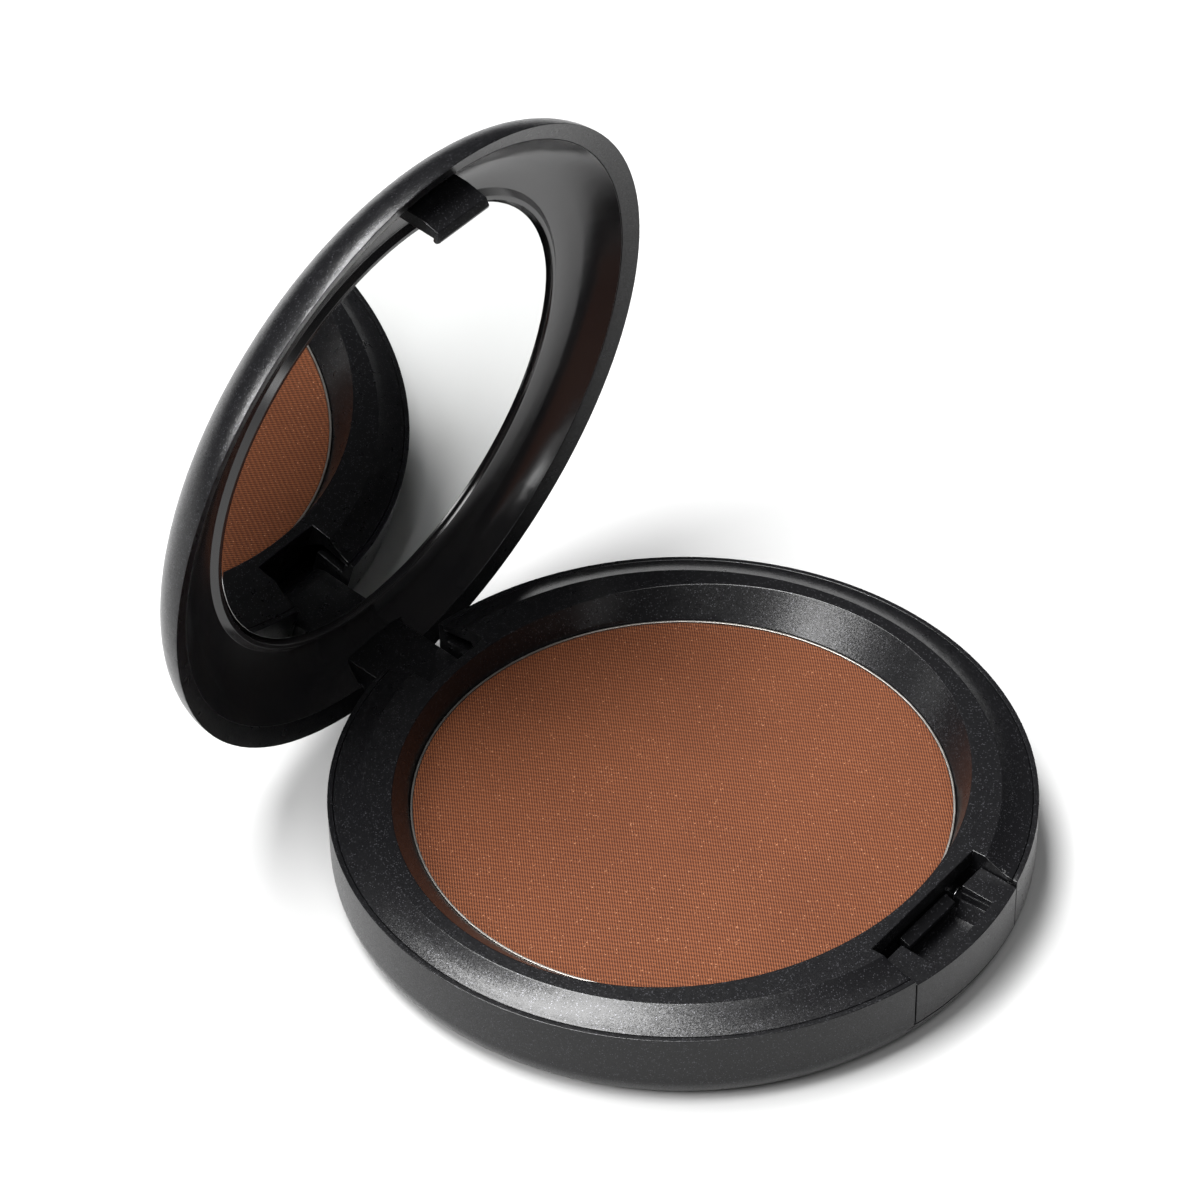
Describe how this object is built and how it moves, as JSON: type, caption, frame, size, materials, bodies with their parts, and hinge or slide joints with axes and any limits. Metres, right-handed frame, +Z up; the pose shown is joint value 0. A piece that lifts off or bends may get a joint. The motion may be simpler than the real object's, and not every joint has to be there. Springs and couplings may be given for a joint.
{
  "type": "powder compact",
  "caption": "Round pressed-powder compact: a domed lid with a mirror turns on a rear pin hinge, and a sprung front push button releases the lid's hook.",
  "frame": {"origin": "centre of the base's underside, on the surface it stands on", "axes": "+Z up; +Y towards the hinge; -Y towards the push button; +X to the right seen from the button; the lid is open at rest"},
  "size_m": [0.076, 0.0854, 0.0767],
  "materials": {
    "case_plastic": "black satin with a fine pearl",
    "frame_plastic": "smooth glossy black",
    "pan_metal": "bright pressed sheet",
    "powder": "pressed terracotta powder with a woven emboss",
    "glue_film": "adhesive film",
    "label_film": "blank satin film",
    "spring_steel": "bright wire and pin",
    "mirror_glass": "silvered glass"
  },
  "bodies": {
    "base": {"base_shell": "case_plastic", "base_tray": "case_plastic", "powder_pan": "pan_metal", "powder_cake": "powder", "pan_adhesive": "glue_film", "base_label": "label_film", "hinge_pin": "spring_steel", "button_spring_left": "spring_steel", "button_spring_right": "spring_steel"},
    "lid": {"lid_shell": "case_plastic", "lid_frame": "frame_plastic", "mirror": "mirror_glass", "mirror_tape": "glue_film"},
    "button": {"latch_button": "case_plastic"}
  },
  "joints": [
    {"name": "lid_hinge", "type": "hinge", "parent": "base", "child": "lid", "pos_m": [0, 0.0351, 0.0036], "axis": [1, 0, 0], "range_deg": [0, 81]},
    {"name": "button_slide", "type": "slide", "parent": "base", "child": "button", "axis": [0, 1, 0], "range_m": [0, 0.0008], "stiffness_N_per_m": 600, "springref_m": -0.0005, "deforming": ["button_spring_left", "button_spring_right"]}
  ]
}
